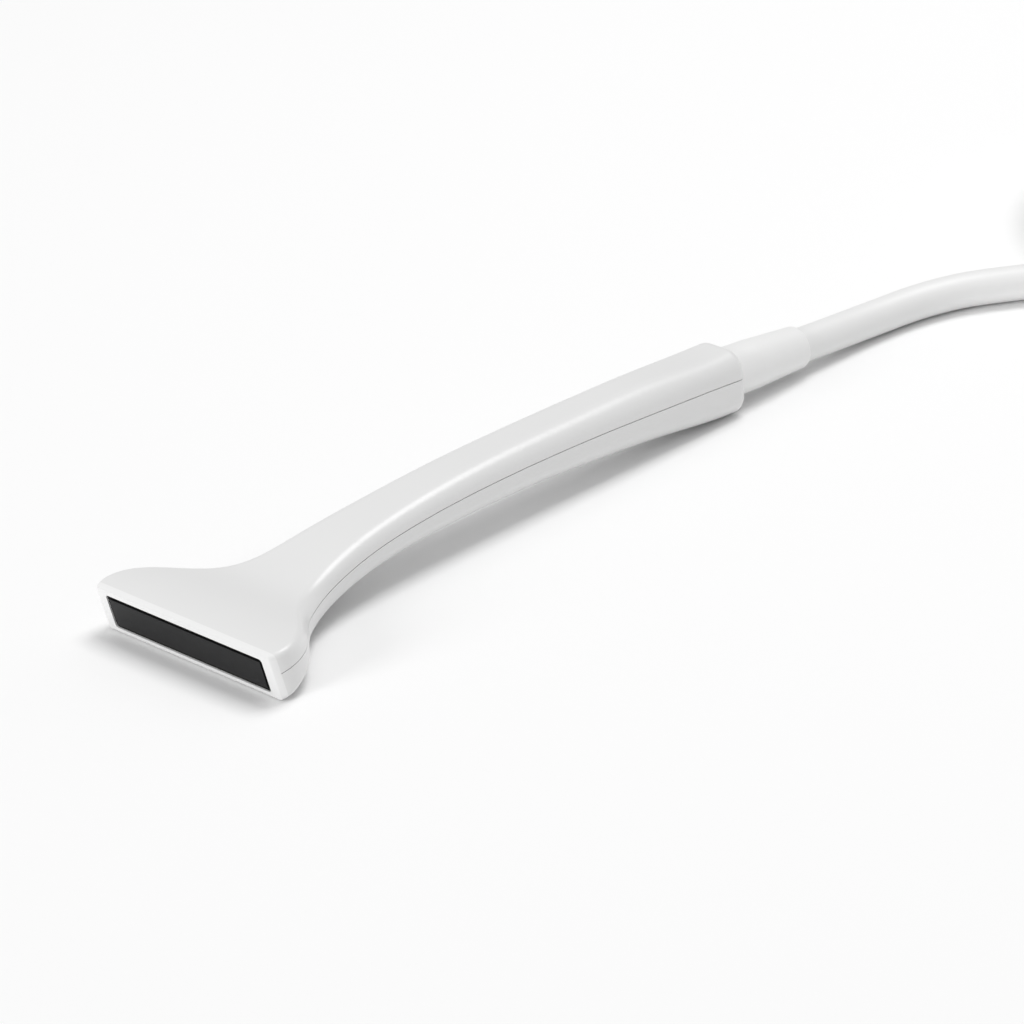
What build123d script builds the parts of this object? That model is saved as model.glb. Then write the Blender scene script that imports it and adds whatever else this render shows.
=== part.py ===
from build123d import *
from math import cos, pi, radians, sin, tan
import os

# An ultrasound transducer probe: linear-array head, slim handle, cable and connector.
# Millimetres. X runs across the head, the lens looks along -Y and +Z is up. The origin is on
# the table, under the middle of the probe from its nose to the end of its strain relief.

# Head and handle
LENS_WIDTH = 46.0
LENS_HEIGHT = 7.1
NOSE_WIDTH = 50.8
NOSE_HEIGHT = 9.4
SHOULDER_WIDTH = 53.2
HANDLE_WIDTH = 13.5
REAR_HEIGHT = 13.1
HOUSING_LENGTH = 130.6
NOSE_RAKE = 9.0
REAR_SLOPE = 5.0
WALL = 1.2
NOSE_ROUNDING = 0.45
REAR_ROUNDING = 1.6
SEAM = 0.15
PARTING_SHARE = 0.15
FIT = 0.1

# Transducer stack behind the nose face
RING_DEPTH = 1.2
SEAL_WIDTH = 0.7
SEAL_RECESS = 0.3
BOND = 0.05
STACK_WIDTH = 43.0
STACK_HEIGHT = 4.4
MATCHING_THICKNESS = 0.5
CRYSTAL_THICKNESS = 0.6
BACKING_DEPTH = 5.6
BACKING_CHAMFER = 2.0
FRAME_WIDTH = 48.0
FRAME_DEPTH = 2.4
FRAME_WALL = 0.25
DICING_CUTS = 31
DICING_WIDTH = 0.15

# Handle electronics, by distance behind the nose lip and height above the table
BOARD_WIDTH = 10.6
BOARD_THICKNESS = 1.0
BOARD_START = 40.0
BOARD_LENGTH = 52.0
BOARD_RISE = 8.9
SOCKET_WIDTH = 9.0
SOCKET_LENGTH = 4.0
SOCKET_HEIGHT = 1.0
FLEX_THICKNESS = 0.2
SCREW_PLACES = (57.0, 84.0)
BOSS_DIAMETER = 3.2
SCREW_DIAMETER = 1.2
SCREW_LENGTH = 2.6
SCREW_HEAD_DIAMETER = 2.6
SCREW_HEAD_HEIGHT = 0.8
COVER_START = 49.0
COVER_LENGTH = 40.0
COVER_WIDTH = 10.2
COVER_HEIGHT = 1.75
COVER_SHEET = 0.25

# Rear of the handle, by depth in front of the rear face along the cable's line
REAR_WALL = 2.0
RIB_REAR = 5.0
RIB_FRONT = 6.2
FERRULE_REAR = 4.4
FERRULE_FRONT = 11.8
FERRULE_DIAMETER = 8.4
FLANGE_WIDTH = 9.8
FLANGE_HEIGHT = 8.8
FLANGE_THICKNESS = 1.2
CABLE_END_DEPTH = 10.6
CABLE_DIAMETER = 7.0
CABLE_STRAIGHT = 26.0
WIRES_DIAMETER = 4.2
BOOT_ROOT_DIAMETER = 10.0
BOOT_END_DIAMETER = 8.5
BOOT_LENGTH = 19.1
BOOT_FLANGE_DIAMETER = 9.2
BOOT_FLANGE_THICKNESS = 2.0
BOOT_NECK_DIAMETER = 8.2
BOOT_ROUNDING = 0.55

# Coil of the unseen cable, 10 cable diameters across at the middle of its turns
COIL_DIAMETER = 10 * CABLE_DIAMETER
BUNDLE_WIDTH = 3 * CABLE_DIAMETER
BUNDLE_HEIGHT = CABLE_DIAMETER * (1 + 3**0.5)
BUNDLE_CORNER = 5.0
COIL_X = 18.0
COIL_DISTANCE = 263.0
TIE_WIDTH = 8.0
TIE_THICKNESS = 1.0
TIE_ANGLE = 160.0

# Connector, modelled round the axis of its lock, with its contact face towards -X
PLUG_WIDTH = 62.0
PLUG_DEPTH = 42.0
PLUG_THICKNESS = 28.0
PLUG_WALL = 2.0
PLUG_REAR_X = 8.0
PLUG_CORNER = 5.0
PLUG_EDGE = 2.0
CABLE_MARGIN = 9.5
CABLE_REACH = 12.0
MOUTH_WIDTH = 46.0
MOUTH_HEIGHT = 17.0
MOUTH_CORNER = 2.0
MOUTH_REACH = 6.0
MOUTH_SHEET = 1.0
MOUTH_FLANGE = 1.0
CONTACT_DEPTH = 10.0
CONTACT_RECESS = 1.5
CONTACT_PITCH = 2.5
CONTACT_COLUMNS = 7
CONTACT_ROWS = 4
CONTACT_SIZE = 0.8
CONTACT_STEP = 0.3
PLUG_BOARD_WIDTH = 44.0
PLUG_BOARD_HEIGHT = 20.0
PLUG_BOARD_THICKNESS = 1.6
SHAFT_DIAMETER = 5.0
SHAFT_REACH = 10.0
RUNNING_CLEARANCE = 0.05
BUSH_DIAMETER = 8.0
BUSH_FLANGE_DIAMETER = 11.0
BUSH_FLANGE_THICKNESS = 1.5
KEY_THICKNESS = 2.4
KEY_WIDTH = 3.0
KEY_SPAN = 11.0
KNOB_DIAMETER = 24.0
KNOB_LENGTH = 7.0
KNOB_GAP = 0.4
KNOB_FLUTES = 12
GRIP_WIDTH = 6.0
GRIP_HEIGHT = 4.0
BOSS_PLACES = ((-9.0, -23.5), (-9.0, 23.5), (15.0, -23.5), (15.0, 8.8))
PLUG_BOSS_DIAMETER = 6.0
PLUG_SCREW_DIAMETER = 2.6
PLUG_SCREW_HEAD_DIAMETER = 4.6
PLUG_SCREW_HEAD_HEIGHT = 1.6
PLUG_SCREW_LENGTH = 22.0
PLUG_BOOT_LENGTH = 14.0
PLUG_BOOT_ROOT = 11.0
PLUG_BOOT_NECK = 9.0
PLUG_BOOT_FLANGE = 10.4
CLAMP_WIDTH = 14.0
CLAMP_DEPTH = 4.0
CLAMP_SCREW_SPREAD = 5.3
CLAMP_SCREW_DIAMETER = 1.8
CLAMP_SCREW_LENGTH = 12.0

os.makedirs("parts", exist_ok=True)

# Places worked out from the driving sizes
rake = radians(NOSE_RAKE)
slope = radians(REAR_SLOPE)
NOSE_LEAD = NOSE_HEIGHT * sin(rake)
BOOT_OVERHANG = (BOOT_END_DIAMETER / 2 - BOOT_ROUNDING) * sin(slope)
PROBE_REACH = HOUSING_LENGTH + BOOT_LENGTH * cos(slope) + BOOT_OVERHANG
LIP_Y = (NOSE_LEAD - PROBE_REACH) / 2
CABLE_RADIUS = CABLE_DIAMETER / 2
REAR_RISE = REAR_HEIGHT / 2 + 0.1
WIRES_SIDE = WIRES_DIAMETER * 0.9
WIRES_CORNER = WIRES_SIDE * 0.37
CABLE_OFFSET = PLUG_WIDTH / 2 - CABLE_MARGIN
cable_end_x = PLUG_REAR_X - CABLE_REACH

# The connector lies on the coil, turned to take the cable as it comes off the top turn
TAIL_X = 56.0
PLUG_DISTANCE = COIL_DISTANCE + PLUG_REAR_X + PLUG_BOOT_LENGTH
PLUG_RISE = BUNDLE_HEIGHT + 2 * FIT
TAIL_RISE = PLUG_RISE + PLUG_THICKNESS / 2
plug_place = Location((TAIL_X - CABLE_OFFSET, LIP_Y + PLUG_DISTANCE, PLUG_RISE), (0, 0, -90))

# Cross-sections of the housing from nose to rear: distance behind the nose lip, height of the
# middle, tilt, half width, half height and corner radius
SHOULDER = SHOULDER_WIDTH / 2
HANDLE = HANDLE_WIDTH / 2
SECTIONS = (
    (-NOSE_LEAD / 2, 4.5, -NOSE_RAKE, NOSE_WIDTH / 2, NOSE_HEIGHT / 2, 0.9),
    (3.0, 5.55, -5.0, SHOULDER, 4.4, 1.4),
    (6.5, 5.95, 0.0, SHOULDER - 1.4, 4.05, 1.8),
    (10.0, 5.9, 0.0, SHOULDER - 4.7, 3.85, 2.2),
    (14.0, 5.6, 0.0, SHOULDER - 9.7, 3.7, 2.5),
    (18.5, 5.45, 0.0, HANDLE + 6.15, 3.65, 2.7),
    (23.5, 6.1, 0.0, HANDLE + 3.65, 3.65, 2.8),
    (29.5, 7.3, 0.0, HANDLE + 2.25, 3.72, 3.0),
    (37.0, 8.5, 0.0, HANDLE + 1.25, 3.84, 3.1),
    (46.0, 9.35, 0.0, HANDLE + 0.6, 4.0, 3.3),
    (56.5, 9.85, 0.0, HANDLE + 0.25, 4.3, 3.5),
    (68.0, 10.0, 0.0, HANDLE + 0.1, 4.6, 3.8),
    (81.0, 9.75, 0.0, HANDLE, 4.9, 4.0),
    (95.0, 9.1, 0.0, HANDLE - 0.05, 5.35, 4.2),
    (111.0, 8.0, 0.0, HANDLE - 0.05, 5.95, 4.4),
    (HOUSING_LENGTH, 6.4, REAR_SLOPE, HANDLE - 0.1, REAR_HEIGHT / 2, 4.6),
)

# Route of the cable from the table to the coil: across, distance behind the lip, height
CABLE_ROUTE = (
    (0.3, 169.5, 3.5),
    (2.3, 182.0, 3.5),
    (8.3, 193.8, 3.5),
    (43.5, 229.1, 3.5),
)

# Route of the cable from the top of the coil to the connector
TAIL_ROUTE = (
    (-20.0, 241.1, 15.6),
    (-1.7, 223.8, 16.5),
    (23.0, 220.0, 21.0),
    (44.8, 231.0, 28.0),
    (TAIL_X, 251.6, TAIL_RISE),
    (TAIL_X, PLUG_DISTANCE - cable_end_x, TAIL_RISE),
)


def across(distance, rise, tilt=0.0):
    """A plane across the probe, distance behind the nose lip, whose top leans back by tilt."""
    lean = radians(tilt)
    normal = (0, -cos(lean), sin(lean))
    return Plane(origin=(0, LIP_Y + distance, rise), x_dir=(1, 0, 0), z_dir=normal)


def on_axis(along):
    """The point of the cable's line that lies along behind the middle of the rear face."""
    return (0, LIP_Y + HOUSING_LENGTH + along * cos(slope), REAR_RISE - along * sin(slope))


def facing_x(x, offset=0.0):
    """A plane across the connector at x, centred offset to the side of its lock shaft."""
    return Plane(origin=(x, offset, PLUG_THICKNESS / 2), x_dir=(0, 1, 0), z_dir=(1, 0, 0))


def save(piece, name, place=Location()):
    """Labels a finished piece, sets it in its place and writes it."""
    piece.part.label = name
    export_step(piece.part.moved(place), f"parts/{name}.step")
    print(name, round(piece.part.volume, 2))


def housing_form(inset):
    """The form of the housing, drawn in by inset on every side of its sections."""
    with BuildPart() as form:
        for distance, rise, tilt, half_width, half_height, corner in SECTIONS:
            with BuildSketch(across(distance, rise, tilt)):
                width = 2 * (half_width - inset)
                height = 2 * (half_height - inset)
                RectangleRounded(width, height, max(corner - inset, 0.3))
        loft()
    return form


def parting_side(upper):
    """Everything above or below the parting line of the housing, half the seam clear of it."""
    gap = SEAM / 2 if upper else -SEAM / 2
    line = [(LIP_Y + row[0], row[1] + PARTING_SHARE * row[4] + gap) for row in SECTIONS]
    far = REAR_HEIGHT * 2 if upper else -REAR_HEIGHT
    start = (line[0][0] - RING_DEPTH * 2, line[0][1])
    end = (line[-1][0] + REAR_WALL * 2, line[-1][1] - REAR_WALL * 2 * tan(slope))
    with BuildPart() as side:
        with BuildSketch(Plane.YZ):
            with BuildLine():
                Line(start, line[0])
                Spline(*line)
                Line(line[-1], end)
                Polyline(end, (end[0], far), (start[0], far), start)
            make_face()
        extrude(amount=SHOULDER_WIDTH, both=True)
    return side


def nose_layer(depth, thickness, width, height, name):
    """A plain rectangular layer of the stack, depth behind the nose face."""
    with BuildPart() as layer:
        with BuildSketch(nose.offset(-depth)):
            Rectangle(width, height)
        extrude(amount=-thickness)
    save(layer, name)


def flex_strip(path, name):
    """A thin printed strip that follows path and narrows from the stack to the board."""
    low = [(LIP_Y + distance, rise - FLEX_THICKNESS / 2) for distance, rise in path]
    high = [(y, rise + FLEX_THICKNESS) for y, rise in reversed(low)]
    with BuildPart() as strip:
        with BuildSketch(Plane.YZ):
            with BuildLine():
                Spline(*low)
                Line(low[-1], high[0])
                Spline(*high)
                Line(high[-1], low[0])
            make_face()
        extrude(amount=STACK_WIDTH, both=True)
        with BuildSketch(Plane.XY):
            with BuildLine():
                edge = [(half, LIP_Y + distance) for half, distance in FLEX_EDGE]
                Polyline(*edge, (0, edge[-1][1]), (0, edge[0][1]), edge[0])
            make_face()
            mirror(about=Plane.YZ)
        extrude(amount=REAR_HEIGHT * 2, mode=Mode.INTERSECT)
    save(strip, name)


def screws(places, diameter, length, head_diameter, head_height, name, place=Location()):
    """Pan-head screws that point down from the planes in places."""
    with BuildPart() as group:
        for seat in places:
            with BuildSketch(seat):
                Circle(diameter / 2)
            extrude(amount=-length)
            with BuildSketch(seat):
                Circle(head_diameter / 2)
            extrude(amount=head_height)
    save(group, name, place)


def cord_tube(points, name):
    """A plain tube of the cable along straight runs joined by the widest arcs that fit."""
    corners = [Vector(point) for point in points]
    radii = []
    for before, corner, after in zip(corners, corners[1:], corners[2:]):
        run_in, run_out = corner - before, after - corner
        half_turn = radians(run_in.get_angle(run_out)) / 2
        radii.append(0.48 * min(run_in.length, run_out.length) / tan(half_turn))
    with BuildPart() as tube:
        with BuildLine() as path:
            FilletPolyline(*corners, radius=radii)
        with BuildSketch(Plane(origin=corners[0], z_dir=corners[1] - corners[0])):
            Circle(CABLE_RADIUS)
        sweep(path=path.wires()[0])
    save(tube, name)
    print(" radii", [round(radius) for radius in radii])
    print(" section times length", round(pi * CABLE_RADIUS**2 * path.wires()[0].length, 2))


nose = across(-NOSE_LEAD / 2, SECTIONS[0][1], -NOSE_RAKE)
rear = across(HOUSING_LENGTH, REAR_RISE, REAR_SLOPE)

# Outer form, with its front and rear edges rounded
form = housing_form(0)
with BuildPart() as outer:
    add(form.part)
    fillet(outer.faces().sort_by(Axis.Y)[-1].edges(), radius=REAR_ROUNDING)
    fillet(outer.faces().sort_by(Axis.Y)[0].edges(), radius=NOSE_ROUNDING)

# Both chambers inside: the long one, and the short one behind the rib that holds the cable
hollow = housing_form(WALL)
with BuildPart() as long_chamber:
    add(hollow.part)
    split(bisect_by=rear.offset(RIB_FRONT), keep=Keep.TOP)
with BuildPart() as rear_chamber:
    add(hollow.part)
    split(bisect_by=rear.offset(REAR_WALL), keep=Keep.TOP)
    split(bisect_by=rear.offset(RIB_REAR), keep=Keep.BOTTOM)

# Walls of the whole housing, with the cable's way through the rib and the rear wall
with BuildPart() as walls:
    add(outer.part)
    split(bisect_by=nose.offset(-RING_DEPTH), keep=Keep.BOTTOM)
    add(long_chamber.part, mode=Mode.SUBTRACT)
    add(rear_chamber.part, mode=Mode.SUBTRACT)
    with BuildSketch(rear.offset((REAR_WALL + RIB_REAR) / 2)):
        Circle(FERRULE_DIAMETER / 2 + FIT)
    extrude(amount=RIB_FRONT, mode=Mode.SUBTRACT)
    with BuildSketch(rear.offset((REAR_WALL + RIB_REAR) / 2)):
        Circle(BOOT_NECK_DIAMETER / 2 + FIT)
    extrude(amount=-RIB_FRONT, mode=Mode.SUBTRACT)

with BuildPart() as upper_shell:
    add(walls.part)
    add(parting_side(True).part, mode=Mode.INTERSECT)
save(upper_shell, "upper_shell")

with BuildPart() as lower_shell:
    add(walls.part)
    add(parting_side(False).part, mode=Mode.INTERSECT)
    boss_places = [(0, LIP_Y + place) for place in SCREW_PLACES]
    with BuildSketch(Plane.XY.offset(BOARD_RISE)):
        with Locations(*boss_places):
            Circle(BOSS_DIAMETER / 2)
    extrude(until=Until.NEXT, dir=(0, 0, -1))
    with BuildSketch(Plane.XY.offset(BOARD_RISE)):
        with Locations(*boss_places):
            Circle(SCREW_DIAMETER / 2 + FIT / 2)
    extrude(amount=BOARD_THICKNESS - SCREW_LENGTH - FIT, mode=Mode.SUBTRACT)
save(lower_shell, "lower_shell")

# Nose ring round the lens window
with BuildPart() as nose_ring:
    add(outer.part)
    split(bisect_by=nose.offset(-RING_DEPTH), keep=Keep.TOP)
    with BuildSketch(nose):
        RectangleRounded(LENS_WIDTH, LENS_HEIGHT, SEAL_WIDTH)
    extrude(amount=RING_DEPTH * 2, both=True, mode=Mode.SUBTRACT)
save(nose_ring, "nose_ring")

# Lens, the bead that seals its edge, and the stack behind it
with BuildPart() as lens_seal:
    with BuildSketch(nose.offset(-SEAL_RECESS)):
        RectangleRounded(LENS_WIDTH - 2 * BOND, LENS_HEIGHT - 2 * BOND, SEAL_WIDTH - BOND)
        inner = 2 * (SEAL_WIDTH + BOND)
        Rectangle(LENS_WIDTH - inner, LENS_HEIGHT - inner, mode=Mode.SUBTRACT)
    extrude(amount=SEAL_RECESS - RING_DEPTH)
save(lens_seal, "lens_seal")

lens_inset = 2 * (SEAL_WIDTH + BOND)
nose_layer(0, RING_DEPTH, LENS_WIDTH - lens_inset, LENS_HEIGHT - lens_inset, "acoustic_lens")
nose_layer(RING_DEPTH, MATCHING_THICKNESS, STACK_WIDTH, STACK_HEIGHT, "matching_layer")

crystal_depth = RING_DEPTH + MATCHING_THICKNESS
with BuildPart() as crystal_array:
    with BuildSketch(nose.offset(-crystal_depth)):
        Rectangle(STACK_WIDTH, STACK_HEIGHT)
    extrude(amount=-CRYSTAL_THICKNESS)
    with BuildSketch(nose.offset(-crystal_depth)):
        with GridLocations(STACK_WIDTH / (DICING_CUTS + 1), 0, DICING_CUTS, 1):
            Rectangle(DICING_WIDTH, STACK_HEIGHT * 2)
    extrude(amount=-CRYSTAL_THICKNESS * 0.8, mode=Mode.SUBTRACT)
save(crystal_array, "crystal_array")

backing_depth = crystal_depth + CRYSTAL_THICKNESS
with BuildPart() as backing_block:
    with BuildSketch(nose.offset(-backing_depth)):
        Rectangle(STACK_WIDTH, STACK_HEIGHT)
    extrude(amount=-BACKING_DEPTH)
    rear_edges = backing_block.faces().sort_by(Axis.Y)[-1].edges()
    chamfer(rear_edges.sort_by(Axis.X)[0], length=BACKING_CHAMFER)
    rear_edges = backing_block.faces().sort_by(Axis.Y)[-1].edges()
    chamfer(rear_edges.sort_by(Axis.X)[-1], length=BACKING_CHAMFER)
save(backing_block, "backing_block")

with BuildPart() as array_frame:
    with BuildSketch(nose.offset(-RING_DEPTH)):
        Rectangle(FRAME_WIDTH, STACK_HEIGHT + 2 * (FRAME_WALL + BOND))
        Rectangle(STACK_WIDTH + 2 * BOND, STACK_HEIGHT + 2 * BOND, mode=Mode.SUBTRACT)
    extrude(amount=-FRAME_DEPTH)
save(array_frame, "array_frame")

# Printed strips from the stack through the neck to the board, by distance and height
FLEX_EDGE = ((19.5, 6.0), (16.3, 12.0), (10.3, 18.5), (7.4, 26.0), (5.4, 34.0), (4.2, 41.0))
UPPER_PATH = ((7.0, 7.35), (12, 7.0), (18.5, 6.4), (26, 7.5), (33, 8.9), (38, 10.2), (41, 10.4))
LOWER_PATH = ((7.5, 4.0), (12, 4.3), (18.5, 4.5), (26, 5.9), (33, 7.4), (38, 8.3), (41, 8.4))
flex_strip(UPPER_PATH, "flex_circuit_upper")
flex_strip(LOWER_PATH, "flex_circuit_lower")

# Board on its bosses, its two sockets, screws and folded cover
board_top = BOARD_RISE + BOARD_THICKNESS
board_middle = LIP_Y + BOARD_START + BOARD_LENGTH / 2
with BuildPart() as interconnect_board:
    with BuildSketch(Plane.XY.offset(BOARD_RISE)):
        with Locations((0, board_middle)):
            RectangleRounded(BOARD_WIDTH, BOARD_LENGTH, 1.0)
        with Locations(*boss_places):
            Circle(SCREW_DIAMETER / 2 + FIT, mode=Mode.SUBTRACT)
    extrude(amount=BOARD_THICKNESS)
save(interconnect_board, "interconnect_board")

socket_middle = LIP_Y + UPPER_PATH[-1][0] + SOCKET_LENGTH / 2
with BuildPart() as board_connectors:
    for height in (board_top, BOARD_RISE - SOCKET_HEIGHT):
        with BuildSketch(Plane.XY.offset(height)):
            with Locations((0, socket_middle)):
                Rectangle(SOCKET_WIDTH, SOCKET_LENGTH)
        extrude(amount=SOCKET_HEIGHT)
save(board_connectors, "board_connectors")

screw_planes = [Plane(origin=(x, y, board_top)) for x, y in boss_places]
head = (SCREW_HEAD_DIAMETER, SCREW_HEAD_HEIGHT)
screws(screw_planes, SCREW_DIAMETER, SCREW_LENGTH, *head, "board_screws")

with BuildPart() as shield_cover:
    with BuildSketch(across(COVER_START, board_top + COVER_HEIGHT / 2)):
        Rectangle(COVER_WIDTH, COVER_HEIGHT)
        with Locations((0, -COVER_SHEET)):
            Rectangle(COVER_WIDTH - 2 * COVER_SHEET, COVER_HEIGHT, mode=Mode.SUBTRACT)
    extrude(amount=-COVER_LENGTH)
save(shield_cover, "shield_cover")

# Bared wires from the board to the end of the cable
with BuildPart() as wire_bundle:
    with BuildSketch(across(BOARD_START + BOARD_LENGTH, BOARD_RISE + BOARD_THICKNESS / 2)):
        RectangleRounded(BOARD_WIDTH * 0.8, 1.6, 0.5)
    with BuildSketch(across(BOARD_START + BOARD_LENGTH + 9, 9.1)):
        RectangleRounded(BOARD_WIDTH * 0.55, 2.6, 0.9)
    with BuildSketch(across(BOARD_START + BOARD_LENGTH + 18, 8.5)):
        RectangleRounded(WIRES_SIDE * 1.1, WIRES_SIDE, 1.2)
    with BuildSketch(rear.offset(CABLE_END_DEPTH)):
        RectangleRounded(WIRES_SIDE, WIRES_SIDE, WIRES_CORNER)
    loft()
save(wire_bundle, "wire_bundle")

# Crimp sleeve that anchors the cable against the rib
with BuildPart() as cable_ferrule:
    with BuildSketch(rear.offset(FERRULE_REAR)):
        Circle(FERRULE_DIAMETER / 2)
    extrude(amount=FERRULE_FRONT - FERRULE_REAR)
    with BuildSketch(rear.offset(RIB_FRONT + FIT)):
        RectangleRounded(FLANGE_WIDTH, FLANGE_HEIGHT, 1.8)
    extrude(amount=FLANGE_THICKNESS)
    with BuildSketch(rear.offset(FERRULE_REAR)):
        Circle(CABLE_RADIUS + BOND)
    extrude(amount=CABLE_END_DEPTH - FERRULE_REAR, mode=Mode.SUBTRACT)
    with BuildSketch(rear.offset(FERRULE_REAR)):
        Circle(WIRES_DIAMETER / 2 + FIT)
    extrude(amount=FERRULE_FRONT, mode=Mode.SUBTRACT)
save(cable_ferrule, "cable_ferrule")

# Strain relief: flange behind the rear wall, neck, and tapered sleeve with a rounded end
axis_side = Plane(origin=on_axis(0), x_dir=(0, cos(slope), -sin(slope)), z_dir=(1, 0, 0))
with BuildPart() as strain_relief_boot:
    with BuildSketch(axis_side):
        with BuildLine():
            bore = CABLE_RADIUS + BOND
            flange_front = -REAR_WALL - FIT - BOOT_FLANGE_THICKNESS
            flange_rear = -REAR_WALL - FIT
            Polyline(
                (BOOT_LENGTH, bore),
                (flange_front, bore),
                (flange_front, BOOT_FLANGE_DIAMETER / 2),
                (flange_rear, BOOT_FLANGE_DIAMETER / 2),
                (flange_rear, BOOT_NECK_DIAMETER / 2),
                (FIT, BOOT_NECK_DIAMETER / 2),
                (FIT, BOOT_ROOT_DIAMETER / 2),
                (BOOT_LENGTH * 0.35, BOOT_ROOT_DIAMETER / 2 - 0.1),
            )
            taper = Line(
                (BOOT_LENGTH * 0.35, BOOT_ROOT_DIAMETER / 2 - 0.1),
                (BOOT_LENGTH - BOOT_ROUNDING, BOOT_END_DIAMETER / 2),
            )
            end_arc = TangentArc(
                taper @ 1,
                (BOOT_LENGTH, BOOT_END_DIAMETER / 2 - BOOT_ROUNDING),
                tangent=taper % 1,
            )
            Line(end_arc @ 1, (BOOT_LENGTH, bore))
        make_face()
    revolve(axis=Axis(on_axis(0), (0, cos(slope), -sin(slope))))
save(strain_relief_boot, "strain_relief_boot")

# Cable to the coil, the coil with its tie, and the cable to the connector
cable_points = [on_axis(-CABLE_END_DEPTH), on_axis(CABLE_STRAIGHT)]
cable_points += [(x, LIP_Y + distance, height) for x, distance, height in CABLE_ROUTE]
cord_tube(cable_points, "cable_run")
cord_tube([(x, LIP_Y + distance, height) for x, distance, height in TAIL_ROUTE], "cable_tail")

coil_y = LIP_Y + COIL_DISTANCE
coil_middle = COIL_DIAMETER / 2
turn = radians(TIE_ANGLE)
tie_place = Plane(
    origin=(COIL_X + coil_middle * cos(turn), coil_y + coil_middle * sin(turn), BUNDLE_HEIGHT / 2),
    x_dir=(cos(turn), sin(turn), 0),
    z_dir=(-sin(turn), cos(turn), 0),
)
squeezed = (BUNDLE_WIDTH - 2 * TIE_THICKNESS, BUNDLE_HEIGHT - 2 * TIE_THICKNESS)
with BuildPart() as cable_coil:
    with BuildSketch(Plane(origin=(COIL_X, coil_y, 0), x_dir=(1, 0, 0), z_dir=(0, -1, 0))):
        with Locations((coil_middle, BUNDLE_HEIGHT / 2)):
            RectangleRounded(BUNDLE_WIDTH, BUNDLE_HEIGHT, BUNDLE_CORNER)
    revolve(axis=Axis((COIL_X, coil_y, 0), (0, 0, 1)))
    with BuildSketch(tie_place):
        Rectangle(BUNDLE_WIDTH * 1.2, BUNDLE_HEIGHT * 1.2)
        RectangleRounded(*squeezed, BUNDLE_CORNER - TIE_THICKNESS, mode=Mode.SUBTRACT)
    extrude(amount=TIE_WIDTH / 2, both=True, mode=Mode.SUBTRACT)
save(cable_coil, "cable_coil")

with BuildPart() as cable_tie:
    with BuildSketch(tie_place):
        RectangleRounded(BUNDLE_WIDTH, BUNDLE_HEIGHT, BUNDLE_CORNER)
        RectangleRounded(*squeezed, BUNDLE_CORNER - TIE_THICKNESS, mode=Mode.SUBTRACT)
    extrude(amount=TIE_WIDTH / 2, both=True)
save(cable_tie, "cable_tie")

# Connector covers: rounded block, hollow, with openings for the contact frame, shaft and cable
plug_x = PLUG_REAR_X - PLUG_DEPTH / 2
face_x = PLUG_REAR_X - PLUG_DEPTH
middle_z = PLUG_THICKNESS / 2
rear_inside = PLUG_REAR_X - PLUG_WALL
boss_spots = [(plug_x + x, y) for x, y in BOSS_PLACES]
clamp_x = cable_end_x + CLAMP_DEPTH
saddle_top = middle_z - CABLE_RADIUS - FIT
clamp_screws = [CABLE_OFFSET - CLAMP_SCREW_SPREAD, CABLE_OFFSET + CLAMP_SCREW_SPREAD]
with BuildPart() as casing:
    with BuildSketch(Plane.XY):
        with Locations((plug_x, 0)):
            RectangleRounded(PLUG_DEPTH, PLUG_WIDTH, PLUG_CORNER)
    extrude(amount=PLUG_THICKNESS)
    ends = casing.faces().filter_by(Axis.Z)
    fillet(ends.edges(), radius=PLUG_EDGE)
    with BuildSketch(Plane.XY.offset(PLUG_WALL)):
        with Locations((plug_x, 0)):
            inside = (PLUG_DEPTH - 2 * PLUG_WALL, PLUG_WIDTH - 2 * PLUG_WALL)
            RectangleRounded(*inside, PLUG_CORNER - PLUG_WALL)
        with Locations(*boss_spots):
            Circle(PLUG_BOSS_DIAMETER / 2, mode=Mode.SUBTRACT)
    extrude(amount=PLUG_THICKNESS - 2 * PLUG_WALL, mode=Mode.SUBTRACT)
    with BuildSketch(facing_x(face_x)):
        RectangleRounded(MOUTH_WIDTH + 2 * FIT, MOUTH_HEIGHT + 2 * FIT, MOUTH_CORNER + FIT)
    extrude(amount=PLUG_WALL * 2, both=True, mode=Mode.SUBTRACT)
    with BuildSketch(facing_x(PLUG_REAR_X)):
        Circle(BUSH_DIAMETER / 2 + FIT)
        with Locations((CABLE_OFFSET, 0)):
            Circle(PLUG_BOOT_NECK / 2 + FIT)
    extrude(amount=-PLUG_WALL * 1.5, mode=Mode.SUBTRACT)
    with BuildSketch(Plane.XY):
        with Locations(*boss_spots):
            Circle(PLUG_SCREW_DIAMETER / 2 + FIT)
    extrude(amount=PLUG_SCREW_LENGTH + FIT, mode=Mode.SUBTRACT)
    with BuildSketch(Plane.XY):
        with Locations(*boss_spots):
            Circle(PLUG_SCREW_HEAD_DIAMETER / 2 + FIT)
    extrude(amount=PLUG_SCREW_HEAD_HEIGHT + FIT, mode=Mode.SUBTRACT)

with BuildPart() as connector_upper_cover:
    add(casing.part)
    split(bisect_by=Plane.XY.offset(middle_z + SEAM / 2), keep=Keep.TOP)
save(connector_upper_cover, "connector_upper_cover", plug_place)

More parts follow.
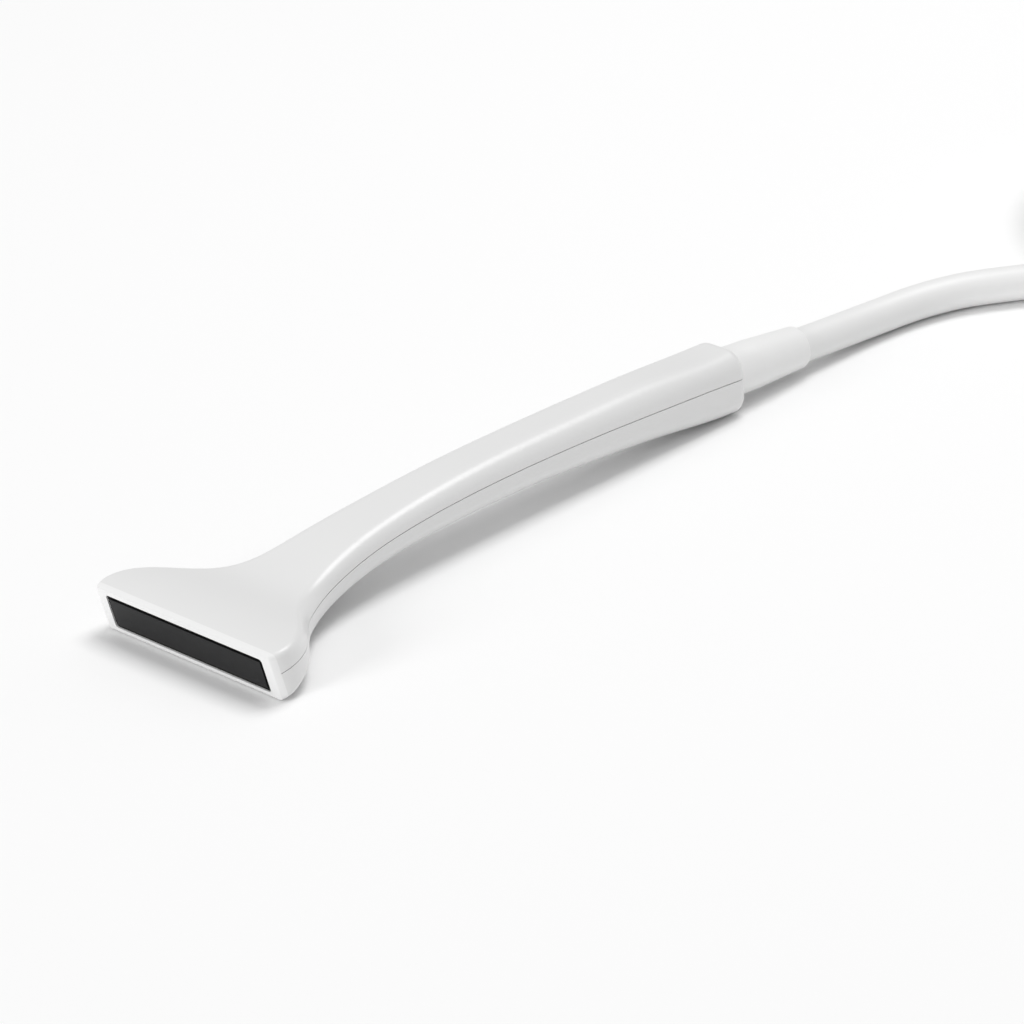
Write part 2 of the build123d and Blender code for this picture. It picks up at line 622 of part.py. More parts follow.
with BuildPart() as connector_lower_cover:
    add(casing.part)
    split(bisect_by=Plane.XY.offset(middle_z - SEAM / 2), keep=Keep.BOTTOM)
    with BuildSketch(Plane.XY.offset(PLUG_WALL / 2)):
        with Locations((clamp_x, CABLE_OFFSET)):
            Rectangle(CLAMP_DEPTH, CLAMP_WIDTH)
    extrude(amount=saddle_top - PLUG_WALL / 2)
    with BuildSketch(Plane.XY.offset(saddle_top)):
        with Locations(*[(clamp_x, offset) for offset in clamp_screws]):
            Circle(CLAMP_SCREW_DIAMETER / 2 + FIT)
    extrude(amount=-CLAMP_SCREW_LENGTH / 2, mode=Mode.SUBTRACT)
save(connector_lower_cover, "connector_lower_cover", plug_place)

# Bridge that grips the cable on its saddle
clamp_top = middle_z + CABLE_RADIUS + 1.5
with BuildPart() as cable_clamp:
    with BuildSketch(facing_x(clamp_x, CABLE_OFFSET)):
        with Locations((0, (clamp_top + saddle_top) / 2 - middle_z)):
            Rectangle(CLAMP_WIDTH, clamp_top - saddle_top)
        Circle(CABLE_RADIUS + BOND, mode=Mode.SUBTRACT)
        with Locations((0, -CABLE_RADIUS / 2)):
            Rectangle(CABLE_DIAMETER + 2 * BOND, CABLE_RADIUS * 2, mode=Mode.SUBTRACT)
    extrude(amount=CLAMP_DEPTH / 2, both=True)
    with BuildSketch(Plane.XY.offset(clamp_top)):
        with Locations(*[(clamp_x, offset) for offset in clamp_screws]):
            Circle(CLAMP_SCREW_DIAMETER / 2 + FIT)
    extrude(amount=-CABLE_DIAMETER * 2, mode=Mode.SUBTRACT)
save(cable_clamp, "cable_clamp", plug_place)

clamp_planes = [Plane(origin=(clamp_x, offset, clamp_top)) for offset in clamp_screws]
screws(clamp_planes, CLAMP_SCREW_DIAMETER, CLAMP_SCREW_LENGTH, 3.4, 1.2, "clamp_screws", plug_place)

# Four screws from below that join the covers, their heads sunk in the lower one
with BuildPart() as connector_screws:
    with BuildSketch(Plane.XY.offset(FIT * 2)):
        with Locations(*boss_spots):
            Circle(PLUG_SCREW_HEAD_DIAMETER / 2)
    extrude(amount=PLUG_SCREW_HEAD_HEIGHT - FIT * 2)
    with BuildSketch(Plane.XY.offset(PLUG_SCREW_HEAD_HEIGHT)):
        with Locations(*boss_spots):
            Circle(PLUG_SCREW_DIAMETER / 2)
    extrude(amount=PLUG_SCREW_LENGTH - PLUG_SCREW_HEAD_HEIGHT)
save(connector_screws, "connector_screws", plug_place)

# Strain relief of the connector
with BuildPart() as connector_boot:
    with BuildSketch(facing_x(PLUG_REAR_X + FIT, CABLE_OFFSET)):
        Circle(PLUG_BOOT_ROOT / 2)
    with BuildSketch(facing_x(PLUG_REAR_X + PLUG_BOOT_LENGTH, CABLE_OFFSET)):
        Circle(BOOT_END_DIAMETER / 2)
    loft()
    fillet(connector_boot.edges().sort_by(Axis.X)[-1], radius=BOOT_ROUNDING / 2)
    with BuildSketch(facing_x(rear_inside - FIT, CABLE_OFFSET)):
        Circle(PLUG_BOOT_NECK / 2)
    extrude(amount=PLUG_WALL + 2 * FIT)
    with BuildSketch(facing_x(rear_inside - FIT, CABLE_OFFSET)):
        Circle(PLUG_BOOT_FLANGE / 2)
    extrude(amount=-PLUG_WALL / 2)
    with BuildSketch(facing_x(PLUG_REAR_X, CABLE_OFFSET)):
        Circle(CABLE_RADIUS + BOND)
    extrude(amount=PLUG_BOOT_LENGTH * 2, both=True, mode=Mode.SUBTRACT)
save(connector_boot, "connector_boot", plug_place)

# Contact face: metal frame, insulating block, contacts and the board behind them
block_front = face_x - MOUTH_REACH + CONTACT_RECESS
block_rear = block_front + CONTACT_DEPTH
frame_inside = (MOUTH_WIDTH - 2 * MOUTH_SHEET, MOUTH_HEIGHT - 2 * MOUTH_SHEET)
with BuildPart() as plug_frame:
    with BuildSketch(facing_x(face_x - MOUTH_REACH)):
        RectangleRounded(MOUTH_WIDTH, MOUTH_HEIGHT, MOUTH_CORNER)
    extrude(amount=MOUTH_REACH + PLUG_WALL)
    with BuildSketch(facing_x(face_x + PLUG_WALL)):
        flange = (MOUTH_WIDTH + 2 * MOUTH_FLANGE, MOUTH_HEIGHT + 2 * MOUTH_FLANGE)
        RectangleRounded(*flange, MOUTH_CORNER)
    extrude(amount=MOUTH_SHEET)
    with BuildSketch(facing_x(face_x)):
        RectangleRounded(*frame_inside, MOUTH_CORNER - MOUTH_SHEET)
    extrude(amount=PLUG_DEPTH, both=True, mode=Mode.SUBTRACT)
save(plug_frame, "plug_frame", plug_place)

contact_side = MOUTH_WIDTH / 4 + 1
contact_spots = []
for side in (-contact_side, contact_side):
    for column in range(CONTACT_COLUMNS):
        for row in range(CONTACT_ROWS):
            across_face = side + CONTACT_PITCH * (column - (CONTACT_COLUMNS - 1) / 2)
            up_face = CONTACT_PITCH * (row - (CONTACT_ROWS - 1) / 2)
            contact_spots.append((across_face, up_face))
with BuildPart() as contact_block:
    with BuildSketch(facing_x(block_front)):
        block = (frame_inside[0] - 2 * FIT, frame_inside[1] - 2 * FIT)
        RectangleRounded(*block, MOUTH_CORNER - MOUTH_SHEET)
        Circle(SHAFT_DIAMETER / 2 + 1, mode=Mode.SUBTRACT)
        with Locations(*contact_spots):
            Rectangle(CONTACT_SIZE + FIT, CONTACT_SIZE + FIT, mode=Mode.SUBTRACT)
    extrude(amount=CONTACT_DEPTH)
save(contact_block, "contact_block", plug_place)

with BuildPart() as contact_pins:
    with BuildSketch(facing_x(block_front - CONTACT_STEP)):
        with Locations(*contact_spots):
            Rectangle(CONTACT_SIZE, CONTACT_SIZE)
    extrude(amount=CONTACT_DEPTH + CONTACT_STEP)
save(contact_pins, "contact_pins", plug_place)

with BuildPart() as connector_board:
    with BuildSketch(facing_x(block_rear)):
        Rectangle(PLUG_BOARD_WIDTH, PLUG_BOARD_HEIGHT)
        Circle(SHAFT_DIAMETER / 2 + 1, mode=Mode.SUBTRACT)
    extrude(amount=PLUG_BOARD_THICKNESS)
save(connector_board, "connector_board", plug_place)

# Bared wires from the end of the cable to the board of the connector
board_back = block_rear + PLUG_BOARD_THICKNESS
with BuildPart() as connector_wires:
    with BuildSketch(facing_x(board_back, PLUG_BOARD_WIDTH / 4 + 1)):
        RectangleRounded(11.0, 6.0, 1.8)
    with BuildSketch(facing_x((board_back + cable_end_x) / 2, CABLE_OFFSET - 4)):
        RectangleRounded(8.0, 5.0, 1.6)
    with BuildSketch(facing_x(cable_end_x, CABLE_OFFSET)):
        RectangleRounded(WIRES_SIDE, WIRES_SIDE, WIRES_CORNER)
    loft()
save(connector_wires, "connector_wires", plug_place)

# Lock: bush in the rear wall, shaft with its cross key, and knob
bush_front = rear_inside - BUSH_FLANGE_THICKNESS
with BuildPart() as shaft_bush:
    with BuildSketch(facing_x(rear_inside)):
        Circle(BUSH_FLANGE_DIAMETER / 2)
    extrude(amount=-BUSH_FLANGE_THICKNESS)
    with BuildSketch(facing_x(rear_inside)):
        Circle(BUSH_DIAMETER / 2)
    extrude(amount=PLUG_WALL)
    with BuildSketch(facing_x(rear_inside)):
        Circle(SHAFT_DIAMETER / 2 + RUNNING_CLEARANCE)
    extrude(amount=PLUG_WALL * 2, both=True, mode=Mode.SUBTRACT)
save(shaft_bush, "shaft_bush", plug_place)

knob_x = PLUG_REAR_X + KNOB_GAP
shaft_tip = face_x - SHAFT_REACH
with BuildPart() as lock_shaft:
    with BuildSketch(facing_x(shaft_tip)):
        Circle(SHAFT_DIAMETER / 2)
    extrude(amount=knob_x + KNOB_LENGTH * 0.8 - shaft_tip)
    with BuildSketch(facing_x(shaft_tip)):
        Rectangle(KEY_WIDTH, KEY_SPAN)
    extrude(amount=KEY_THICKNESS)
    with BuildSketch(facing_x(bush_front - 3 * FIT)):
        Circle(BUSH_DIAMETER / 2)
    extrude(amount=-BUSH_FLANGE_THICKNESS)
save(lock_shaft, "lock_shaft", plug_place)

with BuildPart() as lock_knob:
    with BuildSketch(facing_x(knob_x)):
        Circle(KNOB_DIAMETER / 2)
    extrude(amount=KNOB_LENGTH)
    fillet(lock_knob.edges().sort_by(Axis.X)[-1], radius=1.5)
    with BuildSketch(facing_x(knob_x)):
        with PolarLocations(KNOB_DIAMETER / 2 + 0.8, KNOB_FLUTES):
            Circle(1.8)
    extrude(amount=KNOB_LENGTH, mode=Mode.SUBTRACT)
    with BuildSketch(facing_x(knob_x + KNOB_LENGTH)):
        SlotOverall(KNOB_DIAMETER - 5, GRIP_WIDTH, rotation=90)
    extrude(amount=GRIP_HEIGHT, taper=6)
    with BuildSketch(facing_x(knob_x)):
        Circle(SHAFT_DIAMETER / 2 + RUNNING_CLEARANCE)
    extrude(amount=KNOB_LENGTH * 0.8, mode=Mode.SUBTRACT)
save(lock_knob, "lock_knob", plug_place)
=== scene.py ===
import bpy
import numpy as np
from math import atan2, cos, pi, radians, sin, sqrt
from mathutils import Matrix, Vector


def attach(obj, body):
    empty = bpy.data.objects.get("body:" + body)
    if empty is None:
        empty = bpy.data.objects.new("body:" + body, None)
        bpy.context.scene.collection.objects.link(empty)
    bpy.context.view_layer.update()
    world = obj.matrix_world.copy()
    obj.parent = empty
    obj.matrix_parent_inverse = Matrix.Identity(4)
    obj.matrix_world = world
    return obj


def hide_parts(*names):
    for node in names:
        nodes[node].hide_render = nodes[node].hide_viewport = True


# An ultrasound probe on a pale table: moulded white housing, dark lens, strain relief and
# cable, with the coil, the tie and the locking connector past the edge of the picture.

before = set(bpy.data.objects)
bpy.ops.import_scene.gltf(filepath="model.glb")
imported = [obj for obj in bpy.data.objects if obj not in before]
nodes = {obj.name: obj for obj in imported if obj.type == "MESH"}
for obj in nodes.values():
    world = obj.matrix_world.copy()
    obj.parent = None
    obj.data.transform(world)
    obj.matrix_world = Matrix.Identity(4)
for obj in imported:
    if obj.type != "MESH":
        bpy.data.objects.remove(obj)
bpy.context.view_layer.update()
MM = 0.001

# Sizes of the probe, in millimetres, as in the part's source
NOSE_HEIGHT = 9.4
NOSE_RAKE = 9.0
HOUSING_LENGTH = 130.6
REAR_HEIGHT = 13.1
REAR_SLOPE = 5.0
REAR_CLEARANCE = 0.1
BOOT_LENGTH = 19.1
BOOT_END_DIAMETER = 8.5
BOOT_ROUNDING = 0.55
CABLE_DIAMETER = 7.0
PLUG_THICKNESS = 28.0
FIT = 0.1

slope = radians(REAR_SLOPE)
nose_lead = NOSE_HEIGHT * sin(radians(NOSE_RAKE))
boot_overhang = (BOOT_END_DIAMETER / 2 - BOOT_ROUNDING) * sin(slope)
lip_y = (nose_lead - HOUSING_LENGTH - BOOT_LENGTH * cos(slope) - boot_overhang) / 2
rear_rise = REAR_HEIGHT / 2 + REAR_CLEARANCE


# Sockets by number: those of a Mix node that works on colours, and the object's coordinates
MIX_FACTOR, MIX_FIRST, MIX_SECOND = 0, 6, 7
MIX_RESULT = 2
OBJECT_COORDINATES = 3


class Value:
    """A number on its way through a material. Its operators add Math nodes."""

    def __init__(self, finish, socket):
        self.finish = finish
        self.socket = socket

    def math(self, operation, other):
        return self.finish.add("ShaderNodeMath", {"operation": operation}, {0: self, 1: other})

    def __add__(self, other):
        return self.math("ADD", other)

    def __mul__(self, other):
        return self.math("MULTIPLY", other)

    def __pow__(self, other):
        return self.math("POWER", other)

    __radd__ = __add__
    __rmul__ = __mul__


class Finish:
    """One material: nodes are added to it and end in its surface."""

    def __init__(self, name):
        self.material = bpy.data.materials.new(name)
        self.material.use_nodes = True
        self.tree = self.material.node_tree
        self.tree.nodes.clear()

    def add(self, kind, settings=None, sockets=None, output=0):
        """Adds a node with its settings, then its sockets' values or links."""
        node = self.tree.nodes.new(kind)
        for name, value in (settings or {}).items():
            setattr(node, name, value)
        for name, value in (sockets or {}).items():
            socket = node.inputs[name]
            if isinstance(value, Value):
                self.tree.links.new(value.socket, socket)
            elif socket.type == "RGBA":
                socket.default_value = (*value, 1)
            else:
                socket.default_value = value
        return Value(self, node.outputs[output]) if node.outputs else None

    def place(self, scale=(1, 1, 1)):
        """The object's own coordinates, stretched by scale."""
        spot = self.add("ShaderNodeTexCoord", output=OBJECT_COORDINATES)
        if scale == (1, 1, 1):
            return spot
        return self.add("ShaderNodeMapping", sockets={"Vector": spot, "Scale": scale})

    def noise(self, size, detail=2.0, roughness=0.5, scale=(1, 1, 1)):
        """Soft noise whose grains are about size metres across."""
        sockets = {"Vector": self.place(scale), "Scale": 1 / size}
        sockets.update({"Detail": detail, "Roughness": roughness})
        return self.add("ShaderNodeTexNoise", {}, sockets)

    def mix(self, factor, first, second):
        """A colour between first and second."""
        sockets = {MIX_FACTOR: factor, MIX_FIRST: first, MIX_SECOND: second}
        return self.add("ShaderNodeMix", {"data_type": "RGBA"}, sockets, MIX_RESULT)

    def bump(self, height, distance, strength=1.0, normal=None):
        """Relief of the given height, distance metres deep."""
        sockets = {"Strength": strength, "Distance": distance, "Height": height}
        if normal is not None:
            sockets["Normal"] = normal
        return self.add("ShaderNodeBump", {}, sockets)

    def surface(self, **sockets):
        """Ends the material in a Principled surface with these sockets."""
        named = {name.replace("_", " "): value for name, value in sockets.items()}
        shader = self.add("ShaderNodeBsdfPrincipled", {}, named)
        self.add("ShaderNodeOutputMaterial", {}, {"Surface": shader})
        return self.material


def moulded(name, colour, roughness, grain=0.00022, depth=0.000006, tint=0.02):
    """Moulded plastic: fine grain, faint cloudiness in tone and gloss."""
    finish = Finish(name)
    cloud = finish.noise(0.018, 2.0)
    darker = tuple(part * (1 - tint) for part in colour)
    base = finish.mix(cloud, darker, colour)
    gloss = finish.noise(0.004, 3.0) * 0.08 + (roughness - 0.04)
    relief = finish.bump(finish.noise(grain, 1.0), depth)
    return finish.surface(Base_Color=base, Roughness=gloss, Normal=relief)


def soft_jacket(name, colour, roughness):
    """Soft extruded jacket: fine matte skin over a long waviness, with handling marks."""
    finish = Finish(name)
    marks = finish.noise(0.011, 4.0, 0.6)
    darker = tuple(part * 0.965 for part in colour)
    base = finish.mix(marks, colour, darker)
    gloss = finish.noise(0.003, 2.0) * 0.1 + (roughness - 0.05)
    skin = finish.bump(finish.noise(0.00035, 2.0), 0.000012)
    relief = finish.bump(finish.noise(0.006, 1.0), 0.00003, 1.0, skin)
    return finish.surface(Base_Color=base, Roughness=gloss, Normal=relief)


def silicone(name, colour, roughness, shine=0.25):
    """Cast silicone: even and dark, with a very fine satin skin."""
    finish = Finish(name)
    cloud = finish.noise(0.006, 3.0)
    lighter = tuple(part * 1.12 for part in colour)
    base = finish.mix(cloud, colour, lighter)
    gloss = finish.noise(0.0015, 2.0) * 0.08 + (roughness - 0.04)
    relief = finish.bump(finish.noise(0.0004, 2.0), 0.000008)
    return finish.surface(
        Base_Color=base, Roughness=gloss, Specular_IOR_Level=shine, Normal=relief
    )


def metal(name, colour, roughness, brushing=(1, 1, 1), dull=0.85):
    """Worked metal with brushing along one direction and slight tarnish."""
    finish = Finish(name)
    strokes = finish.noise(0.0006, 4.0, 0.6, brushing)
    tarnish = finish.noise(0.004, 3.0)
    darker = tuple(part * dull for part in colour)
    base = finish.mix(tarnish, colour, darker)
    gloss = strokes * 0.16 + (roughness - 0.08)
    relief = finish.bump(strokes, 0.000006)
    return finish.surface(Base_Color=base, Metallic=1.0, Roughness=gloss, Normal=relief)


def printed_board(name, colour):
    """Board with solder mask over faint copper lines."""
    finish = Finish(name)
    sockets = {"Vector": finish.place((1, 0.25, 1)), "Scale": 900.0, "Randomness": 0.0}
    lines = finish.add("ShaderNodeTexVoronoi", {"distance": "CHEBYCHEV"}, sockets)
    tracks = (lines * 3.0) ** 4.0
    lighter = tuple(min(1.0, part * 1.7) for part in colour)
    base = finish.mix(tracks, lighter, colour)
    relief = finish.bump(tracks, 0.00002)
    gloss = finish.noise(0.002) * 0.1 + 0.28
    return finish.surface(Base_Color=base, Roughness=gloss, Normal=relief)


def woven(name, colour):
    """Hook-and-loop strap: fuzzy loops over a woven ground."""
    finish = Finish(name)
    fuzz = finish.noise(0.0005, 5.0, 0.7)
    lighter = tuple(part * 3.2 + 0.01 for part in colour)
    base = finish.mix(fuzz, colour, lighter)
    relief = finish.bump(fuzz, 0.0002)
    return finish.surface(Base_Color=base, Roughness=0.9, Normal=relief)


def bared_wires(name, colours):
    """Bundle of thin insulated wires, seen as fine bands of two colours."""
    finish = Finish(name)
    strands = finish.noise(0.0007, 2.0, 0.5, (1, 0.06, 1))
    base = finish.mix(strands, *colours)
    relief = finish.bump(strands, 0.0003)
    return finish.surface(Base_Color=base, Roughness=0.4, Normal=relief)


# Stretch of the noise that draws brushing along Y or along X
ALONG_Y = (1, 0.05, 1)
ALONG_X = (0.05, 1, 1)
housing_white = moulded("housing_white", (0.79, 0.79, 0.788), 0.3)
# Nose ring: the housing's white plastic made lighter, as painted light for its front face, which
# faces the front lamp.
nose_white_painted_light = moulded("nose_white_painted_light", (0.86, 0.86, 0.858), 0.34)
boot_white = soft_jacket("boot_white", (0.87, 0.87, 0.867), 0.42)
cable_white = soft_jacket("cable_white", (0.84, 0.84, 0.837), 0.42)
lens_grey = silicone("lens_grey", (0.014, 0.014, 0.0145), 0.42, shine=0.12)
# Lens seal: a real seal bead, made near black as painted shade for the dark line round the lens.
seal_black = silicone("seal_black", (0.004, 0.004, 0.004), 0.5, shine=0.1)
matching_grey = moulded("matching_grey", (0.35, 0.36, 0.38), 0.6)
crystal_cream = moulded("crystal_cream", (0.62, 0.56, 0.42), 0.55)
backing_black = silicone("backing_black", (0.03, 0.03, 0.03), 0.7)
frame_metal = metal("frame_metal", (0.6, 0.61, 0.63), 0.34, ALONG_Y)
flex_amber = moulded("flex_amber", (0.55, 0.24, 0.05), 0.3)
board_green = printed_board("board_green", (0.02, 0.16, 0.06))
socket_ivory = moulded("socket_ivory", (0.66, 0.62, 0.5), 0.5)
screw_steel = metal("screw_steel", (0.55, 0.56, 0.58), 0.3)
shield_metal = metal("shield_metal", (0.62, 0.55, 0.45), 0.35, ALONG_Y)
wire_colours = bared_wires("wire_colours", ((0.5, 0.52, 0.6), (0.12, 0.2, 0.42)))
bush_brass = metal("bush_brass", (0.7, 0.55, 0.25), 0.3)
strap_black = woven("strap_black", (0.012, 0.012, 0.013))
cover_grey = moulded("cover_grey", (0.7, 0.7, 0.69), 0.45, grain=0.0004, depth=0.00002)
contact_black = moulded("contact_black", (0.02, 0.02, 0.02), 0.5)
contact_gold = metal("contact_gold", (0.83, 0.62, 0.22), 0.22)
shaft_steel = metal("shaft_steel", (0.5, 0.51, 0.53), 0.28, ALONG_X)
knob_grey = moulded("knob_grey", (0.16, 0.17, 0.18), 0.45, grain=0.0004, depth=0.00002)

finishes = {
    "upper_shell": housing_white,
    "lower_shell": housing_white,
    "nose_ring": nose_white_painted_light,
    "strain_relief_boot": boot_white,
    "lens_seal": seal_black,
    "acoustic_lens": lens_grey,
    "matching_layer": matching_grey,
    "crystal_array": crystal_cream,
    "backing_block": backing_black,
    "array_frame": frame_metal,
    "flex_circuit_upper": flex_amber,
    "flex_circuit_lower": flex_amber,
    "interconnect_board": board_green,
    "board_connectors": socket_ivory,
    "board_screws": screw_steel,
    "shield_cover": shield_metal,
    "wire_bundle": wire_colours,
    "cable_ferrule": bush_brass,
    "connector_upper_cover": cover_grey,
    "connector_lower_cover": cover_grey,
    "connector_boot": boot_white,
    "plug_frame": frame_metal,
    "contact_block": contact_black,
    "contact_pins": contact_gold,
    "connector_board": board_green,
    "connector_wires": wire_colours,
    "connector_screws": screw_steel,
    "cable_clamp": frame_metal,
    "clamp_screws": screw_steel,
    "shaft_bush": bush_brass,
    "lock_shaft": shaft_steel,
    "lock_knob": knob_grey,
}
for name, finish in finishes.items():
    materials = nodes[name].data.materials
    materials.clear()
    materials.append(finish)

# Camera at the photograph's angle, with its focal length counted in pixels of the picture
SENSOR_WIDTH = 36.0
FOCAL_PIXELS = 6000
PICTURE_WIDTH = 1024
scene = bpy.context.scene
camera_data = bpy.data.cameras.new("camera")
camera = bpy.data.objects.new("camera", camera_data)
scene.collection.objects.link(camera)
scene.camera = camera
camera_data.sensor_width = SENSOR_WIDTH
camera_data.lens = SENSOR_WIDTH * FOCAL_PIXELS / PICTURE_WIDTH
camera_data.clip_start = 0.05
camera_data.clip_end = 20.0
right = Vector((0.64494, 0.75255, -0.13311))
up = Vector((-0.24064, 0.36528, 0.89926))
back = Vector((0.72536, -0.54793, 0.41668))
eye = Vector((811.72, -537.47 + lip_y, 465.90)) * MM
camera.matrix_world = Matrix.Translation(eye) @ Matrix((right, up, back)).transposed().to_4x4()

# Cable: straight out of the housing, along the table, round the coil and to the connector.
# Points of the route: across, distance behind the nose lip, height.
CABLE_END_DEPTH = 10.6
CABLE_STRAIGHT = 26.0
CABLE_ROUTE = (
    (0.3, 169.5, 3.5),
    (2.3, 182.0, 3.5),
    (8.3, 193.8, 3.5),
    (43.5, 229.1, 3.5),
)
TAIL_X = 56.0
TAIL_RISE = CABLE_DIAMETER * (1 + sqrt(3)) + 2 * FIT + PLUG_THICKNESS / 2
TAIL_ROUTE = (
    (-5.6, 244.5, 20.4),
    (-1.0, 234.8, 22.7),
    (8.7, 225.6, 23.0),
    (23.1, 221.3, 23.4),
    (44.8, 231.0, 28.0),
    (TAIL_X, 251.6, TAIL_RISE),
    (TAIL_X, 289.0, TAIL_RISE),
)

# Coil in millimetres, its angles in degrees
COIL_X = 18.0
COIL_DISTANCE = 263.0
COIL_RADIUS = 5 * CABLE_DIAMETER
COIL_ENTRY = -44.9
COIL_END = 2360.0
POINTS_PER_TURN = 16
CROSSING = 46.0
CLEAR_OF_ENTRY = 14.0

# Strap: its angle round the coil, its size, and how far on either side it lifts the turns
STRAP_ANGLE = 160.0
STRAP_WIDTH = 8.0
STRAP_THICKNESS = 1.0
STRAP_LOOSENESS = 0.05
STRAP_EDGE = 0.2
STRAP_SPREAD = 45.0
STRAPPED_TURNS = (2, 0, 5, 7)

# Places of the turns in the tied bundle: out from its mean radius and layer, in diameters
BUNDLE = ((1, 0), (0, 0), (-1, 0), (-0.5, 1), (0.5, 1), (1, 2), (0, 2), (-1, 2))

strap_lift = STRAP_THICKNESS + FIT


def on_axis(along):
    """The point of the cable's line that lies along behind the middle of the rear face."""
    return (0.0, HOUSING_LENGTH + along * cos(slope), rear_rise - along * sin(slope))


def bundle_place(turn):
    """Radius and height of one turn of the coil."""
    outwards, layer = BUNDLE[turn]
    height = CABLE_DIAMETER * (0.5 + layer * sqrt(3) / 2)
    return np.array((COIL_RADIUS + outwards * CABLE_DIAMETER, height))


def eased(share):
    """Share with a soft start and a soft end."""
    return share * share * (3 - 2 * share)


def coil_point(angle):
    """A control point of the winding. Each turn crosses to its next place at its end."""
    turn, left = divmod(angle - COIL_ENTRY, 360)
    passed = (left - 360 + CLEAR_OF_ENTRY) / CROSSING + turn + 1
    share = eased(min(1.0, max(0.0, passed)))
    after = min(turn + 1, len(BUNDLE) - 1)
    radius, height = (1 - share) * bundle_place(int(turn)) + share * bundle_place(int(after))
    lean = (angle - STRAP_ANGLE + 180) % 360 - 180
    height += strap_lift * max(0.0, cos(radians(min(90, abs(lean) * 90 / STRAP_SPREAD))))
    radius /= cos(pi / POINTS_PER_TURN)
    turn_angle = radians(angle)
    return (
        COIL_X + radius * cos(turn_angle),
        COIL_DISTANCE + radius * sin(turn_angle),
        height,
    )


steps = round((COIL_END - COIL_ENTRY) * POINTS_PER_TURN / 360)
angles = [COIL_ENTRY + (COIL_END - COIL_ENTRY) * step / steps for step in range(steps + 1)]
route = [on_axis(-CABLE_END_DEPTH), on_axis(CABLE_STRAIGHT), *CABLE_ROUTE]
route += [coil_point(angle) for angle in angles]
route += TAIL_ROUTE
route = [Vector((x, lip_y + distance, height)) * MM for x, distance, height in route]

curve = bpy.data.curves.new("cable", "CURVE")
curve.dimensions = "3D"
curve.resolution_u = 6
curve.bevel_depth = CABLE_DIAMETER / 2 * MM
curve.bevel_resolution = 8
curve.use_fill_caps = True
spline = curve.splines.new("NURBS")
spline.points.add(len(route) - 1)
for point, place in zip(spline.points, route):
    point.co = (*place, 1)
spline.order_u = 3
spline.use_endpoint_u = True
curve.materials.append(cable_white)
cable = bpy.data.objects.new("cable", curve)
scene.collection.objects.link(cable)
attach(cable, "probe")
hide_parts("cable_run", "cable_coil", "cable_tail")


def mesh_piece(name, points, faces, material, smooth=35.0):
    """A mesh object from points in millimetres in the part's frame."""
    mesh = bpy.data.meshes.new(name)
    mesh.from_pydata([tuple(MM * part for part in point) for point in points], [], faces)
    mesh.validate()
    mesh.shade_smooth()
    mesh.set_sharp_from_angle(angle=radians(smooth))
    mesh.materials.append(material)
    piece = bpy.data.objects.new(name, mesh)
    scene.collection.objects.link(piece)
    return piece


def ring_skin(rows):
    """Points and faces of a closed ring through rows, closed along and across them."""
    count, width = len(rows), len(rows[0])
    points = [point for row in rows for point in row]
    faces = []
    for row in range(count):
        for column in range(width):
            after, beside = (row + 1) % count, (column + 1) % width
            faces.append((
                row * width + column,
                row * width + beside,
                after * width + beside,
                after * width + column,
            ))
    return points, faces


# The strap round the coil
strap_turn = radians(STRAP_ANGLE)
strap_out = Vector((cos(strap_turn), sin(strap_turn), 0))
strap_along = Vector((-sin(strap_turn), cos(strap_turn), 0))
coil_centre = Vector((COIL_X, lip_y + COIL_DISTANCE, 0))


def hull_loop(centres, reach, arc=6):
    """A closed loop that runs reach outside a ring of centres given anticlockwise."""
    loop = []
    count = len(centres)
    for index, centre in enumerate(centres):
        before, after = centres[index - 1], centres[(index + 1) % count]
        start = atan2(centre[1] - before[1], centre[0] - before[0]) - pi / 2
        turn = atan2(after[1] - centre[1], after[0] - centre[0]) - pi / 2 - start
        turn = (turn + 2 * pi) % (2 * pi)
        for step in range(arc + 1):
            angle = start + turn * step / arc
            loop.append((centre[0] + reach * cos(angle), centre[1] + reach * sin(angle)))
    return loop


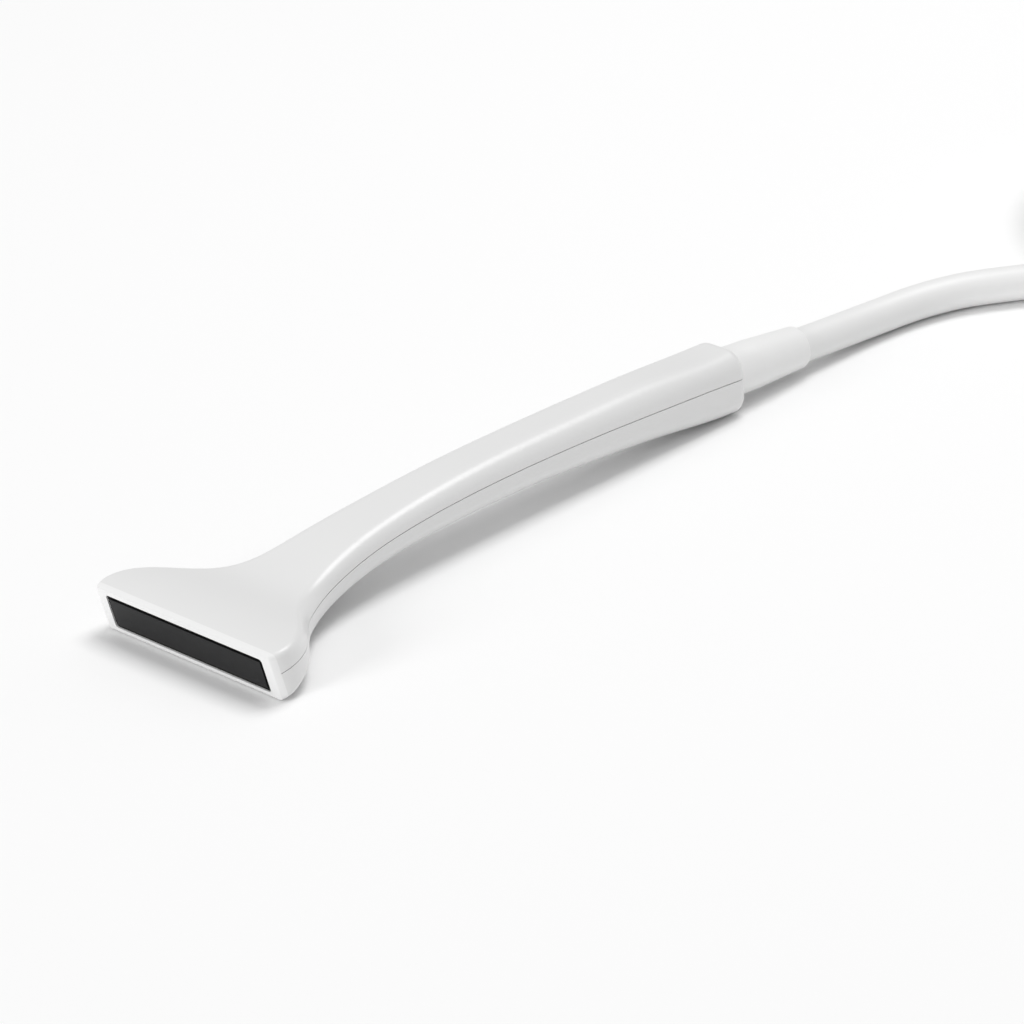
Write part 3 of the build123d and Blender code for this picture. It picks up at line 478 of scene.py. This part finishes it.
tied = [bundle_place(turn) + np.array((0, strap_lift)) for turn in STRAPPED_TURNS]
rows = []
half = STRAP_WIDTH / 2
inner = CABLE_DIAMETER / 2 + STRAP_LOOSENESS
outer = inner + STRAP_THICKNESS
for reach, along in (
    (inner, -half + STRAP_EDGE),
    (inner, half - STRAP_EDGE),
    (inner + STRAP_EDGE, half),
    (outer - STRAP_EDGE, half),
    (outer, half - STRAP_EDGE),
    (outer, -half + STRAP_EDGE),
    (outer - STRAP_EDGE, -half),
    (inner + STRAP_EDGE, -half),
):
    row = []
    for radius, height in hull_loop(tied, reach):
        row.append(coil_centre + strap_out * radius + strap_along * along + Vector((0, 0, height)))
    rows.append(row)
strap = mesh_piece("cable_strap", *ring_skin(rows), strap_black)
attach(strap, "probe")
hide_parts("cable_tie")

boot_end = on_axis(BOOT_LENGTH)
cable_exit = [part * MM for part in (0.0, lip_y + boot_end[1], boot_end[2])]
far_pieces = [name for name in nodes if name.startswith("connector_")]
far_pieces += ["plug_frame", "contact_block", "contact_pins", "cable_clamp", "clamp_screws"]
far_pieces += ["shaft_bush", "lock_shaft", "lock_knob"]

# Floor, world and lamps: a plain pale studio
FLOOR_REACH = 6
FLOOR_DROP = 0.0002
SKY_STRENGTH = 0.5
floor_white = Finish("floor_white").surface(Base_Color=(0.95, 0.95, 0.95), Roughness=0.9)
floor_mesh = bpy.data.meshes.new("floor")
corners = [(x * FLOOR_REACH, y * FLOOR_REACH, 0) for x, y in ((-1, -1), (1, -1), (1, 1), (-1, 1))]
floor_mesh.from_pydata(corners, [], [(0, 1, 2, 3)])
floor_mesh.materials.append(floor_white)
floor = bpy.data.objects.new("floor", floor_mesh)
floor.location.z = -FLOOR_DROP
scene.collection.objects.link(floor)

world = bpy.data.worlds.new("studio")
scene.world = world
world.use_nodes = True
sky = world.node_tree.nodes["Background"]
sky.inputs["Color"].default_value = (1, 1, 1, 1)
sky.inputs["Strength"].default_value = SKY_STRENGTH


def lamp(name, place, aim, size, power):
    """A square soft lamp at place, aimed at a point, size metres wide."""
    data = bpy.data.lights.new(name, "AREA")
    data.shape = "SQUARE"
    data.size = size
    data.energy = power
    holder = bpy.data.objects.new(name, data)
    scene.collection.objects.link(holder)
    turn = (Vector(aim) - Vector(place)).to_track_quat("-Z", "Y").to_matrix().to_4x4()
    holder.matrix_world = Matrix.Translation(place) @ turn


lamp("key", (0.05, 0.7, 1.7), (0, 0, 0), 0.9, 16.5)
lamp("front", (-0.2, -2.2, 0.75), (0, 0, 0), 1.0, 20)

scene.view_settings.view_transform = "Standard"
